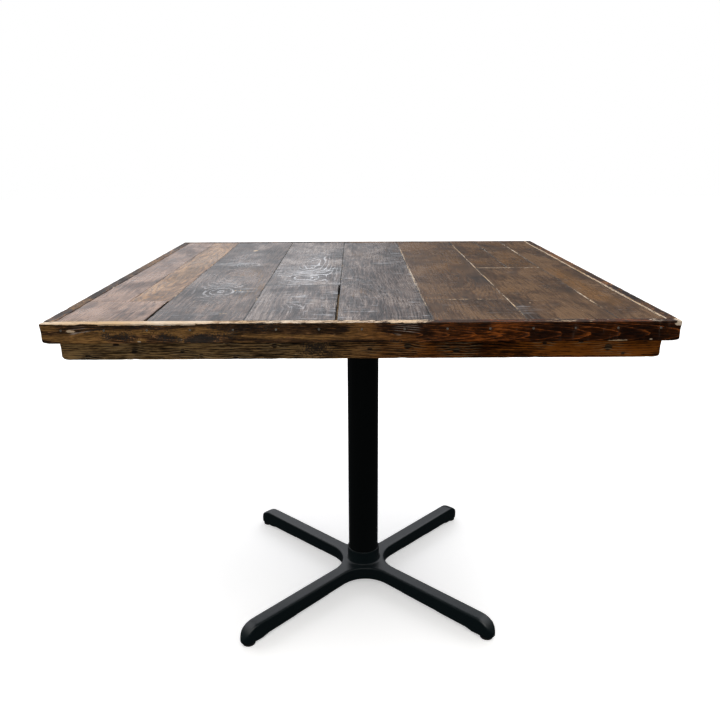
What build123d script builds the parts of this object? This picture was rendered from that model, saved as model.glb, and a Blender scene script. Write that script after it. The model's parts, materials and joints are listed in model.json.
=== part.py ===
"""Square bistro table: a plank top on a pedestal with a cast cross base.

Millimetres, +Z up. The origin is on the floor, under the top's centre. -Y is the front.
The planks run front to back on a plywood panel. Edging strips hide the panel's edges, and a
frame of flat rails under the panel makes the lower, set-back tier. A cast spider screwed to
two centre boards sits on the column, and one tie rod clamps spider, column and base together.
"""

import os
from math import cos, radians, sin

from build123d import *

# ---------------------------------------------------------------- driving dimensions
table_height = 781.0  # floor to the planks' top face
top_width = 1016.0  # overall, across the planks (X)
top_depth = 1016.0  # overall, along the planks (Y)

edging_thickness = 19.0
plank_thickness = 20.0
panel_thickness = 13.0
frame_setback = 20.0  # the lower tier's outer face, in from the edging's outer face
rail_height = 33.0
rail_width = 89.0
centre_board_width = 140.0
centre_board_spacing = 40.0  # clear gap between the two centre boards

plank_arris = 0.8  # small chamfer round each plank's top face
board_arris = 1.2  # the same on edging, rails and centre boards
plank_joint_gap = 0.5  # between neighbouring planks
open_joint_gap = 3.5  # beside the two short front planks that were cut narrow
edging_joint_gap = 0.5  # between the plank field and the edging

pedestal_x = 8.0  # the column's axis, to the right of the top's centre
pedestal_turn = 1.6  # degrees that the spider and the base are turned, against the top's diagonals

column_diameter = 73.0
column_wall = 2.6
socket_clearance = 0.3  # radial, column in the base's and the spider's sockets

leg_reach = 393.0  # column axis to a leg's tip
leg_root_width = 34.0
leg_tip_width = 31.0
leg_top_height = 45.0
leg_crown_radius = 2.5  # rounding of the leg's long top edges
leg_wall = 6.5
crotch_radius = 70.0  # inner corner between two legs
arch_height = 14.0  # underside at the hub
arch_end_height = 8.0  # underside where the foot begins
foot_length = 68.0  # tip back to where the foot begins
foot_flat_length = 48.0  # tip back to where the foot's underside is level
foot_clearance = 5.0  # the foot's underside above the floor
nose_length = 44.0  # how far back from the tip the nose's arc has its crest
nose_crest = 0.5  # the crest's height above the top face, which the arc therefore crosses
nose_base_height = 12.0  # the nose's widest point
nose_toe_length = 6.0  # the undercut between the nose and the level underside

collar_height = 35.5  # above the legs' top face
collar_wall = 3.2
collar_lip = 1.6
socket_floor_height = 36.0
socket_floor_thickness = 8.0
hub_cavity_radius = 30.0

rod_diameter = 12.7
rod_clearance = 0.6  # radial, rod in the castings and washers
rod_end_stickout = 4.0
rod_end_chamfer = 1.0
nut_across_flats = 19.0
nut_thickness = 11.0
washer_diameter = 35.0
washer_thickness = 3.0

spider_span = 330.0
spider_arm_width = 32.0
spider_arm_thickness = 8.0
spider_hub_wall = 3.2
spider_flange_width = 8.0  # the disc round the hub's foot, beyond the hub's wall
spider_hub_height = 34.0
spider_socket_depth = 24.0
spider_screw_radii = (75.0, 145.0)

leveller_inset = 21.0  # tip to the leveller's axis
stem_diameter = 9.5
stem_length = 26.0
stem_end_chamfer = 1.0
stem_clearance = 0.08  # radial, a running fit in the foot
stem_hole_spare = 3.0  # blind hole beyond the stem's end
glide_diameter = 29.0
glide_gap = 0.3  # glide to foot with the leveller screwed home
glide_rim_radius = 1.5
glide_grip = 3.2  # how far the stem is moulded into the glide

wood_screw_diameter = 4.2
wood_screw_head_diameter = 8.4
wood_screw_head_height = 3.0
screw_clearance = 0.05
panel_screw_bite = 15.0  # into the plank
rail_screw_bite = 10.0  # into the panel
spider_screw_bite = 22.0  # into the centre board
pan_head_height = 3.2
screw_end_inset = 60.0  # plank's end to its screws
rail_screw_end_inset = 60.0  # rail's end to its outer screws
rail_screw_edge_inset = 30.0  # rail's outer face to its screws
centre_board_screw_ys = (-330.0, -200.0, 200.0, 330.0)

nail_diameter = 1.8
nail_head_diameter = 3.6
nail_head_thickness = 1.2
nail_length = 34.0
nail_drop = 11.0  # below the planks' top face
nail_clearance = 0.05
nail_spacing = 68.0  # target spacing along an edging strip

# The plank field, left to right: each column's nominal width and where its cross joint is,
# measured from the field's front edge (None for a column of one full-length plank).
column_widths = (144.0, 156.0, 150.0, 152.0, 153.0, 147.0, 76.0)
column_joints = (155.0, None, 305.0, None, 158.0, 511.0, None)
ripped_share = 0.5  # where the pairs of narrow planks behind a cross joint are parted
ripped_columns = (0, 5)  # columns whose rear plank is two narrow planks
open_columns = (0, 2)  # columns whose front plank was cut narrow, with an open joint beside it

leg_angles = {
    corner: 45 + 90 * quarter + pedestal_turn
    for quarter, corner in enumerate(("back_right", "back_left", "front_left", "front_right"))
}
pedestal_axis = Axis((pedestal_x, 0, 0), (0, 0, 1))

# ---------------------------------------------------------------- heights and places
plank_base_z = table_height - plank_thickness
panel_base_z = plank_base_z - panel_thickness
frame_base_z = panel_base_z - rail_height
edging_height = plank_thickness + panel_thickness

field_width = top_width - 2 * edging_thickness
field_depth = top_depth - 2 * edging_thickness
frame_width = top_width - 2 * frame_setback
frame_depth = top_depth - 2 * frame_setback
frame_inner_depth = frame_depth - 2 * rail_width

socket_radius = column_diameter / 2 + socket_clearance
collar_radius = column_diameter / 2 + collar_wall
column_base_z = socket_floor_height
column_top_z = frame_base_z - spider_hub_height + spider_socket_depth
rod_hole_radius = rod_diameter / 2 + rod_clearance
spider_hub_radius = socket_radius + spider_hub_wall
panel_screw_length = panel_thickness + panel_screw_bite
rail_screw_length = rail_height + rail_screw_bite
spider_screw_length = spider_arm_thickness + spider_screw_bite
lower_washer_z = socket_floor_height - socket_floor_thickness - washer_thickness
lower_nut_z = lower_washer_z - nut_thickness
upper_washer_z = frame_base_z
upper_nut_z = upper_washer_z + washer_thickness
leveller_radius = leg_reach - leveller_inset
pilot_radius = wood_screw_diameter / 2 + screw_clearance

os.makedirs("parts", exist_ok=True)


def keep(part, name):
    """Labels a finished piece and writes it to parts/."""
    part.label = name
    export_step(part, f"parts/{name}.step")


# ---------------------------------------------------------------- plank layout
def plank_layout():
    """Each plank's name and its (left, right, front, back)."""
    scale = field_width / sum(column_widths)
    half_gap = plank_joint_gap / 2
    front = -field_depth / 2
    back = field_depth / 2
    left = -field_width / 2
    boards = []
    for column, (nominal, joint) in enumerate(zip(column_widths, column_joints)):
        right = left + nominal * scale
        if joint is None:
            boards.append((left, right, front, back))
        else:
            middle = front + joint
            narrowed = right - open_joint_gap if column in open_columns else right
            boards.append((left, narrowed, front, middle))
            parting = left + (right - left) * ripped_share
            edges = (left, parting, right) if column in ripped_columns else (left, right)
            boards += [(low, high, middle, back) for low, high in zip(edges, edges[1:])]
        left = right
    return {
        f"plank_{number:02d}": (low + half_gap, high - half_gap, near + half_gap, far - half_gap)
        for number, (low, high, near, far) in enumerate(boards, 1)
    }


def plank_screw_points(left, right, front, back):
    """Two screws near each end of a plank, at the quarter points of its width."""
    quarter = (right - left) / 4
    return [
        (x, y)
        for x in (left + quarter, right - quarter)
        for y in (front + screw_end_inset, back - screw_end_inset)
    ]


planks = plank_layout()
panel_screw_points = [point for board in planks.values() for point in plank_screw_points(*board)]

# ---------------------------------------------------------------- the four sides
outward = {"front": (0, -1), "back": (0, 1), "left": (-1, 0), "right": (1, 0)}
side_lengths = {
    "front": top_width,
    "back": top_width,
    "left": field_depth - 2 * edging_joint_gap,
    "right": field_depth - 2 * edging_joint_gap,
}


def side_plane(side, z):
    """A plane on that side's outer face at height z: X along the side, normal inwards."""
    x, y = outward[side]
    origin = (x * top_width / 2, y * top_depth / 2, z)
    return Plane(origin, x_dir=(abs(y), abs(x), 0), z_dir=(-x, -y, 0))


def meets(side, board):
    """Whether a plank's end or edge lies along that side of the plank field."""
    left, right, front, back = board
    distances = {
        "front": front + field_depth / 2,
        "back": field_depth / 2 - back,
        "left": left + field_width / 2,
        "right": field_width / 2 - right,
    }
    return distances[side] < plank_joint_gap


def nail_places(side):
    """Evenly spaced places along a side, each moved clear of the joints between planks."""
    margin = 3 * nail_diameter
    along = slice(0, 2) if side in ("front", "back") else slice(2, 4)
    spans = [board[along] for board in planks.values() if meets(side, board)]
    count = max(2, round(side_lengths[side] / nail_spacing))
    places = []
    for index in range(count):
        even = side_lengths[side] * ((index + 0.5) / count - 0.5)
        inside = [min(max(even, low + margin), high - margin) for low, high in spans]
        places.append((min(inside, key=lambda place: abs(place - even)), 0))
    return places


nails_by_side = {side: nail_places(side) for side in outward}


# ---------------------------------------------------------------- sketch helpers
def level(z):
    """The table's plane at height z, for what belongs to the top."""
    return Plane.XY.offset(z)


def pedestal_level(z):
    """The plane at height z whose origin is on the column's axis, for what belongs to it."""
    return Plane((pedestal_x, 0, z))


def circles_at(plane, points, radius):
    """Circles of one radius at the given points of a plane."""
    with BuildSketch(plane) as circles:
        with Locations(*points):
            Circle(radius)
    return circles.sketch


def rectangle_at(plane, centre, width, depth):
    """One rectangle centred at a point of a plane."""
    with BuildSketch(plane) as rectangle:
        with Locations(centre):
            Rectangle(width, depth)
    return rectangle.sketch


def nails_along(side, spare):
    """A side's nails, grown all round by spare: 0 gives the nails, the clearance their holes."""
    plane = side_plane(side, table_height - nail_drop)
    with BuildPart() as nails:
        extrude(
            circles_at(plane, nails_by_side[side], nail_diameter / 2 + spare),
            amount=nail_length + spare,
        )
        extrude(
            circles_at(plane, nails_by_side[side], nail_head_diameter / 2 + spare),
            amount=nail_head_thickness + spare,
        )
    return nails.part


nail_hole_sets = {side: nails_along(side, nail_clearance) for side in outward}


def wood_screws(points, head_z, length, spare):
    """Countersunk screws, heads down at head_z, grown by spare: 0 gives the screws themselves."""
    plane = level(head_z)
    with BuildPart() as screws:
        extrude(circles_at(plane, points, wood_screw_diameter / 2 + spare), amount=length + spare)
        with Locations(*[(x, y, head_z) for x, y in points]):
            Cone(
                wood_screw_head_diameter / 2 + spare,
                wood_screw_diameter / 2 + spare,
                wood_screw_head_height + spare,
                align=(Align.CENTER, Align.CENTER, Align.MIN),
            )
    return screws.part


# ---------------------------------------------------------------- planks
for plank_name, (left, right, front, back) in planks.items():
    top_plane = level(plank_base_z)
    centre = ((left + right) / 2, (front + back) / 2)
    pilots = plank_screw_points(left, right, front, back)
    pilot_depth = panel_screw_bite + screw_clearance
    with BuildPart() as plank:
        extrude(
            rectangle_at(top_plane, centre, right - left, back - front), amount=plank_thickness
        )
        chamfer(plank.faces().sort_by(Axis.Z)[-1].edges(), plank_arris)
        extrude(
            circles_at(top_plane, pilots, pilot_radius), amount=pilot_depth, mode=Mode.SUBTRACT
        )
        for side in outward:
            if meets(side, (left, right, front, back)):
                add(nail_hole_sets[side], mode=Mode.SUBTRACT)
    keep(plank.part, plank_name)

# ---------------------------------------------------------------- edging strips
for side in outward:
    long_axis = Axis.X if side in ("front", "back") else Axis.Y
    strip_plane = side_plane(side, table_height - edging_height / 2)
    with BuildPart() as strip:
        extrude(
            rectangle_at(strip_plane, (0, 0), side_lengths[side], edging_height),
            amount=edging_thickness,
        )
        chamfer(strip.edges().filter_by(long_axis), board_arris)
        add(nail_hole_sets[side], mode=Mode.SUBTRACT)
    keep(strip.part, f"edging_{side}")

with BuildPart() as edging_nails:
    for side in outward:
        add(nails_along(side, 0))
keep(edging_nails.part, "edging_nails")

# ---------------------------------------------------------------- screw places under the top
rail_centre_x = frame_width / 2 - rail_width / 2
rail_centre_y = frame_depth / 2 - rail_width / 2
rail_screw_x = frame_width / 2 - rail_screw_edge_inset
rail_screw_y = frame_depth / 2 - rail_screw_edge_inset
front_rail_end_x = frame_width / 2 - rail_width - rail_screw_end_inset
side_rail_end_y = frame_inner_depth / 2 - rail_screw_end_inset
centre_board_x = (centre_board_spacing + centre_board_width) / 2

rail_screw_points = {
    f"frame_rail_{side}": [
        (x * rail_screw_x + y * y * place_x, y * rail_screw_y + x * x * place_y)
        for place_x, place_y in (
            (-front_rail_end_x, -side_rail_end_y),
            (0, 0),
            (front_rail_end_x, side_rail_end_y),
        )
    ]
    for side, (x, y) in outward.items()
}
for side in ("left", "right"):
    board_x = pedestal_x + outward[side][0] * centre_board_x
    rail_screw_points[f"centre_board_{side}"] = [(board_x, y) for y in centre_board_screw_ys]
all_rail_screw_points = [point for points in rail_screw_points.values() for point in points]

spider_screw_points = [
    (radius * cos(radians(angle)), radius * sin(radians(angle)))
    for angle in leg_angles.values()
    for radius in spider_screw_radii
]

# ---------------------------------------------------------------- plywood panel
panel_plane = level(panel_base_z)
panel_width = field_width - 2 * edging_joint_gap
panel_depth = field_depth - 2 * edging_joint_gap
with BuildPart() as panel:
    extrude(rectangle_at(panel_plane, (0, 0), panel_width, panel_depth), amount=panel_thickness)
    add(
        wood_screws(panel_screw_points, panel_base_z, panel_screw_length, screw_clearance),
        mode=Mode.SUBTRACT,
    )
    add(
        wood_screws(all_rail_screw_points, frame_base_z, rail_screw_length, screw_clearance),
        mode=Mode.SUBTRACT,
    )
keep(panel.part, "plywood_panel")
keep(wood_screws(panel_screw_points, panel_base_z, panel_screw_length, 0), "panel_screws")
keep(wood_screws(all_rail_screw_points, frame_base_z, rail_screw_length, 0), "rail_screws")

# ---------------------------------------------------------------- lower frame
frame_plane = level(frame_base_z)
spider_top_plane = pedestal_level(frame_base_z)


def flat_board(name, centre, width, depth):
    """A board lying flat under the panel, with its own screw holes and the spider's pilots."""
    with BuildPart() as board:
        extrude(rectangle_at(frame_plane, centre, width, depth), amount=rail_height)
        chamfer(board.faces().sort_by(Axis.Z)[0].edges(), board_arris)
        add(
            wood_screws(rail_screw_points[name], frame_base_z, rail_screw_length, screw_clearance),
            mode=Mode.SUBTRACT,
        )
        extrude(
            circles_at(spider_top_plane, spider_screw_points, pilot_radius),
            amount=spider_screw_bite + screw_clearance,
            mode=Mode.SUBTRACT,
        )
    keep(board.part, name)


for side, (x, y) in outward.items():
    rail_size = (frame_width, rail_width) if y else (rail_width, frame_inner_depth)
    flat_board(f"frame_rail_{side}", (x * rail_centre_x, y * rail_centre_y), *rail_size)
    if x:
        board_size = (centre_board_width, frame_inner_depth)
        flat_board(f"centre_board_{side}", (pedestal_x + x * centre_board_x, 0), *board_size)

# ---------------------------------------------------------------- spider
spider_arm_plane = pedestal_level(frame_base_z - spider_arm_thickness)
spider_hub_plane = pedestal_level(frame_base_z - spider_hub_height)
with BuildPart() as spider:
    with BuildSketch(spider_arm_plane):
        for corner in ("back_right", "back_left"):
            SlotOverall(spider_span, spider_arm_width, rotation=leg_angles[corner])
        Circle(spider_hub_radius + spider_flange_width)
    extrude(amount=spider_arm_thickness)
    with BuildSketch(spider_hub_plane):
        Circle(spider_hub_radius)
    extrude(amount=spider_hub_height)
    with BuildSketch(spider_hub_plane):
        Circle(socket_radius)
    extrude(amount=spider_socket_depth, mode=Mode.SUBTRACT)
    with BuildSketch(spider_hub_plane):
        Circle(rod_hole_radius)
    extrude(amount=spider_hub_height, mode=Mode.SUBTRACT)
    extrude(
        circles_at(spider_arm_plane, spider_screw_points, pilot_radius),
        amount=spider_arm_thickness,
        mode=Mode.SUBTRACT,
    )
keep(spider.part, "spider")

with BuildPart() as spider_screws:
    extrude(
        circles_at(spider_arm_plane, spider_screw_points, wood_screw_diameter / 2),
        amount=spider_screw_length,
    )
    extrude(
        circles_at(spider_arm_plane, spider_screw_points, wood_screw_head_diameter / 2),
        amount=-pan_head_height,
    )
    fillet(spider_screws.edges().group_by(Axis.Z)[0], pan_head_height / 2)
keep(spider_screws.part, "spider_screws")

# ---------------------------------------------------------------- column
with BuildPart() as column:
    with BuildSketch(pedestal_level(column_base_z)):
        Circle(column_diameter / 2)
        Circle(column_diameter / 2 - column_wall, mode=Mode.SUBTRACT)
    extrude(amount=column_top_z - column_base_z)
keep(column.part, "column")

# ---------------------------------------------------------------- tie rod, nuts and washers
rod_base_z = lower_nut_z - rod_end_stickout
rod_top_z = upper_nut_z + nut_thickness + rod_end_stickout
with BuildPart() as tie_rod:
    with BuildSketch(pedestal_level(rod_base_z)):
        Circle(rod_diameter / 2)
    extrude(amount=rod_top_z - rod_base_z)
    chamfer(tie_rod.edges().filter_by(GeomType.CIRCLE), rod_end_chamfer)
keep(tie_rod.part, "tie_rod")

for end, nut_z, washer_z in (
    ("lower", lower_nut_z, lower_washer_z),
    ("upper", upper_nut_z, upper_washer_z),
):
    with BuildPart() as nut:
        with BuildSketch(pedestal_level(nut_z)):
            RegularPolygon(nut_across_flats / 2, 6, major_radius=False)
            Circle(rod_diameter / 2 + screw_clearance, mode=Mode.SUBTRACT)
        extrude(amount=nut_thickness)
    keep(nut.part, f"tie_rod_nut_{end}")
    with BuildPart() as washer:
        with BuildSketch(pedestal_level(washer_z)):
            Circle(washer_diameter / 2)
            Circle(rod_hole_radius, mode=Mode.SUBTRACT)
        extrude(amount=washer_thickness)
    keep(washer.part, f"tie_rod_washer_{end}")


# ---------------------------------------------------------------- cross base
def cross_outline(root_width, tip_width, reach, corner_radius):
    """Four tapering round-ended legs at floor level, with rounded inner corners."""
    with BuildSketch() as leg:
        Circle(root_width / 2)
        with Locations((reach - tip_width / 2, 0)):
            Circle(tip_width / 2)
        make_hull()
    with BuildSketch(pedestal_level(0)) as cross:
        for angle in leg_angles.values():
            add(leg.sketch.rotate(Axis.Z, angle))
        inner_corners = cross.vertices().sort_by_distance((0, 0, 0))[: len(leg_angles)]
        fillet(inner_corners, corner_radius)
    return cross.sketch


def leg_profile():
    """Half the base's side view: level top, rounded nose, foot, and an arched underside."""
    nose_start = (leg_reach - nose_length, leg_top_height + nose_crest)
    nose_end = (leg_reach, nose_base_height)
    toe = (leg_reach - nose_toe_length, foot_clearance)
    heel = (leg_reach - foot_flat_length, foot_clearance)
    arch_end = (leg_reach - foot_length, arch_end_height)
    with BuildSketch(Plane((pedestal_x, 0, 0), x_dir=(1, 0, 0), z_dir=(0, -1, 0))) as profile:
        with BuildLine():
            Polyline(arch_end, (0, arch_height), (0, nose_start[1]), nose_start)
            TangentArc(nose_start, nose_end, tangent=(1, 0))
            ThreePointArc(
                nose_end,
                (leg_reach - nose_toe_length / 3, (nose_base_height + foot_clearance) / 2),
                toe,
            )
            Line(toe, heel)
            Spline(heel, arch_end, tangents=((-1, 0), (-1, 0)))
        make_face()
    return profile.sketch


leveller_points = {
    corner: (leveller_radius * cos(radians(angle)), leveller_radius * sin(radians(angle)))
    for corner, angle in leg_angles.items()
}
glide_top_z = foot_clearance - glide_gap
stem_base_z = glide_top_z - glide_grip

with BuildPart() as cross_base:
    extrude(
        cross_outline(leg_root_width, leg_tip_width, leg_reach, crotch_radius),
        amount=leg_top_height,
    )
    fillet(cross_base.edges().group_by(Axis.Z)[-1], leg_crown_radius)
    revolve(leg_profile(), axis=pedestal_axis, mode=Mode.INTERSECT)
    # The legs are hollow underneath, down to the wall thickness, as far as the feet.
    extrude(
        cross_outline(
            leg_root_width - 2 * leg_wall,
            leg_tip_width - 2 * leg_wall,
            leg_reach - foot_length,
            crotch_radius + leg_wall,
        ),
        amount=leg_top_height - leg_wall,
        mode=Mode.SUBTRACT,
    )
    with BuildSketch(pedestal_level(arch_height)):
        Circle(socket_radius + leg_wall)
    extrude(amount=leg_top_height - arch_height)
    with BuildSketch(pedestal_level(leg_top_height)):
        Circle(collar_radius)
    extrude(amount=collar_height)
    fillet(cross_base.edges().group_by(Axis.Z)[-1], collar_lip)
    with BuildSketch(pedestal_level(socket_floor_height)):
        Circle(socket_radius)
    extrude(amount=leg_top_height + collar_height, mode=Mode.SUBTRACT)
    with BuildSketch(pedestal_level(0)):
        Circle(hub_cavity_radius)
    extrude(amount=socket_floor_height - socket_floor_thickness, mode=Mode.SUBTRACT)
    with BuildSketch(pedestal_level(0)):
        Circle(rod_hole_radius)
    extrude(amount=leg_top_height, mode=Mode.SUBTRACT)
    extrude(
        circles_at(
            pedestal_level(0), list(leveller_points.values()), stem_diameter / 2 + stem_clearance
        ),
        amount=stem_base_z + stem_length + stem_hole_spare,
        mode=Mode.SUBTRACT,
    )
keep(cross_base.part, "cross_base")

# ---------------------------------------------------------------- levelling feet
for corner, point in leveller_points.items():
    with BuildPart() as glide:
        extrude(circles_at(pedestal_level(0), [point], glide_diameter / 2), amount=glide_top_z)
        fillet(glide.edges().group_by(Axis.Z)[0], glide_rim_radius)
        extrude(
            circles_at(pedestal_level(stem_base_z), [point], stem_diameter / 2),
            amount=glide_grip,
            mode=Mode.SUBTRACT,
        )
    keep(glide.part, f"glide_{corner}")
    with BuildPart() as stem:
        extrude(
            circles_at(pedestal_level(stem_base_z), [point], stem_diameter / 2),
            amount=stem_length,
        )
        chamfer(stem.edges().group_by(Axis.Z)[-1], stem_end_chamfer)
    keep(stem.part, f"leveller_stem_{corner}")
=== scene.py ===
import json
import math

import bpy
import numpy as np
from mathutils import Matrix, Vector


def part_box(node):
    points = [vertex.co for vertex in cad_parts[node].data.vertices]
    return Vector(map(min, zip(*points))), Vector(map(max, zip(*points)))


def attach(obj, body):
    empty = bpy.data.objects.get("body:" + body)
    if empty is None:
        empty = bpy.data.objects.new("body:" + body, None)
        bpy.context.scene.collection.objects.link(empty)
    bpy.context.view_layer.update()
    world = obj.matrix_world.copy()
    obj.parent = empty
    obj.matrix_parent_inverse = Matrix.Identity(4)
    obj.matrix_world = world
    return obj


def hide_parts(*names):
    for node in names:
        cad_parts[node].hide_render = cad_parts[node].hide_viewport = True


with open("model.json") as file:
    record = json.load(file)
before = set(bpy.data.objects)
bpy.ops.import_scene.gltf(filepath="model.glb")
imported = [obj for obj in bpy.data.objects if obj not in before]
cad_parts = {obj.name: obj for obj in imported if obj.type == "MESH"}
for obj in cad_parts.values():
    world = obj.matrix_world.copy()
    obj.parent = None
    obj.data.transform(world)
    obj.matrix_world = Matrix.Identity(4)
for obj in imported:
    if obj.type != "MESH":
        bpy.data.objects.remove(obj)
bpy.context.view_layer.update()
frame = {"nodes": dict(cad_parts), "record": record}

# ------------------------------------------------------------------ camera, first of all
SENSOR_WIDTH = 36.0  # millimetres
FOCAL_PER_WIDTH = 0.98909722  # focal length for a sensor one unit wide
CAMERA_PLACE = (-0.01184, -1.59938, 1.0439)
CAMERA_YAW, CAMERA_PITCH, CAMERA_ROLL = 0.464, 16.564, -0.196  # degrees

scene = bpy.context.scene
camera_data = bpy.data.cameras.new("camera")
camera = bpy.data.objects.new("camera", camera_data)
scene.collection.objects.link(camera)
scene.camera = camera
camera_data.sensor_width = SENSOR_WIDTH
camera_data.lens = FOCAL_PER_WIDTH * SENSOR_WIDTH
camera_data.dof.use_dof = False
camera_data.clip_start = 0.05
camera_data.clip_end = 60.0


def aim_camera(place, yaw, pitch, roll):
    """yaw to the right of +Y, pitch downwards and roll, in degrees."""
    yaw, pitch, roll = (math.radians(a) for a in (yaw, pitch, roll))
    ahead = Vector(
        (math.sin(yaw) * math.cos(pitch), math.cos(yaw) * math.cos(pitch), -math.sin(pitch))
    )
    right = Vector((math.cos(yaw), -math.sin(yaw), 0))
    up = right.cross(ahead)
    right, up = (
        math.cos(roll) * right + math.sin(roll) * up,
        -math.sin(roll) * right + math.cos(roll) * up,
    )
    turn = Matrix((right, up, -ahead)).transposed().to_4x4()
    camera.matrix_world = Matrix.Translation(Vector(place)) @ turn


aim_camera(CAMERA_PLACE, CAMERA_YAW, CAMERA_PITCH, CAMERA_ROLL)

# ------------------------------------------------------------------ numbers read off the frame
planks = {n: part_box(n) for n in frame["nodes"] if n.startswith("plank_")}
TOP = max(hi.z for lo, hi in planks.values())
SIDES = ("front", "back", "left", "right")
LONG_AXIS = {"front": "X", "back": "X", "left": "Y", "right": "Y"}


# ------------------------------------------------------------------ noise on arrays
def hashed(i, j, k, seed):
    """A number from 0 to 1 for each lattice point."""
    h = (i * 374761393 + j * 668265263 + k * 2147483647 + seed * 1274126177) & 0xFFFFFFFF
    h = ((h ^ (h >> 13)) * 1274126177) & 0xFFFFFFFF
    h = ((h ^ (h >> 16)) * 2246822519) & 0xFFFFFFFF
    return ((h ^ (h >> 13)) & 0xFFFFFF) / float(0xFFFFFF)


def noise(p, scale, seed=0):
    """Smooth value noise from 0 to 1 at points p, scale cells to the metre along each axis."""
    q = np.asarray(p, float) * np.asarray(scale, float) + 1000.0
    c = np.floor(q).astype(np.int64)
    f = q - c
    f = f * f * (3 - 2 * f)
    out = 0
    for dx in (0, 1):
        wx = f[:, 0] if dx else 1 - f[:, 0]
        for dy in (0, 1):
            wy = f[:, 1] if dy else 1 - f[:, 1]
            for dz in (0, 1):
                wz = f[:, 2] if dz else 1 - f[:, 2]
                out = out + wx * wy * wz * hashed(c[:, 0] + dx, c[:, 1] + dy, c[:, 2] + dz, seed)
    return out


def fbm(p, scale, seed=0, octaves=4):
    """Noise in octaves, each twice as fine and half as strong as the one before."""
    total, weight, amp = 0, 0, 1.0
    s = np.asarray(scale, float)
    for o in range(octaves):
        total = total + amp * noise(p, s * 2**o, seed + 17 * o)
        weight += amp
        amp *= 0.5
    return total / weight


def step(x, lo, hi):
    """0 below lo and 1 above hi, smoothly between."""
    t = np.clip((x - lo) / (hi - lo), 0, 1)
    return t * t * (3 - 2 * t)


def blob(p, x, y, rx, ry):
    """1 at (x, y), fading out over an ellipse's reach, on the first two axes of p."""
    return np.exp(-(((p[:, 0] - x) / rx) ** 2 + ((p[:, 1] - y) / ry) ** 2))


def blobs(p, marks):
    """The sum of the marks (x, y, reach in x, reach in y, amount) at each point of p."""
    return sum(amount * blob(p, *place) for *place, amount in marks)


# ------------------------------------------------------------------ box shells
def lines(lo, hi, spacing, close=()):
    """Grid lines from lo to hi about spacing apart, with extra ones at each distance in close."""
    inner = [d for d in close if d < (hi - lo) / 2]
    a = lo + (max(inner) if inner else 0)
    b = hi - (max(inner) if inner else 0)
    n = max(1, int(round((b - a) / spacing)))
    values = {round(v, 7) for v in np.linspace(a, b, n + 1)}
    values |= {round(lo + d, 7) for d in inner} | {round(hi - d, 7) for d in inner}
    values |= {round(lo, 7), round(hi, 7)}
    return np.array(sorted(values))


def shell(xs, ys, zs):
    """Vertices and quads of a closed box whose faces are gridded at those lines."""
    nx, ny, nz = len(xs), len(ys), len(zs)
    i, j, k = np.meshgrid(np.arange(nx), np.arange(ny), np.arange(nz), indexing="ij")
    on = (i == 0) | (i == nx - 1) | (j == 0) | (j == ny - 1) | (k == 0) | (k == nz - 1)
    index = -np.ones((nx, ny, nz), int)
    index[on] = np.arange(on.sum())
    co = np.stack([xs[i[on]], ys[j[on]], zs[k[on]]], 1)
    quads = []

    def sheet(a, flip):
        q = np.stack([a[:-1, :-1], a[1:, :-1], a[1:, 1:], a[:-1, 1:]], -1).reshape(-1, 4)
        quads.append(q[:, ::-1] if flip else q)

    sheet(index[:, :, -1], False)
    sheet(index[:, :, 0], True)
    sheet(index[-1, :, :], False)
    sheet(index[0, :, :], True)
    sheet(index[:, -1, :], True)
    sheet(index[:, 0, :], False)
    return co, np.concatenate(quads)


def rounded(co, lo, hi, radius):
    """Box points moved onto the box with its edges rounded to a radius, one for each point."""
    r = np.minimum(radius, (np.array(hi) - np.array(lo)).min() * 0.45)[:, None]
    inner = np.clip(co, np.array(lo) + r, np.array(hi) - r)
    d = co - inner
    length = np.linalg.norm(d, axis=1, keepdims=True)
    return inner + d / np.maximum(length, 1e-9) * r


def make_mesh(name, co, quads, attributes):
    """A smooth-shaded mesh object that carries a float at each vertex for each attribute."""
    mesh = bpy.data.meshes.new(name)
    mesh.vertices.add(len(co))
    mesh.vertices.foreach_set("co", np.asarray(co, np.float32).ravel())
    mesh.loops.add(quads.size)
    mesh.loops.foreach_set("vertex_index", quads.astype(np.int32).ravel())
    mesh.polygons.add(len(quads))
    mesh.polygons.foreach_set("loop_start", np.arange(0, quads.size, 4, dtype=np.int32))
    mesh.update(calc_edges=True)
    mesh.polygons.foreach_set("use_smooth", np.ones(len(quads), bool))
    for key, values in attributes.items():
        a = mesh.attributes.new(key, "FLOAT", "POINT")
        a.data.foreach_set("value", np.asarray(values, np.float32))
    ob = bpy.data.objects.new(name, mesh)
    scene.collection.objects.link(ob)
    return ob


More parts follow.
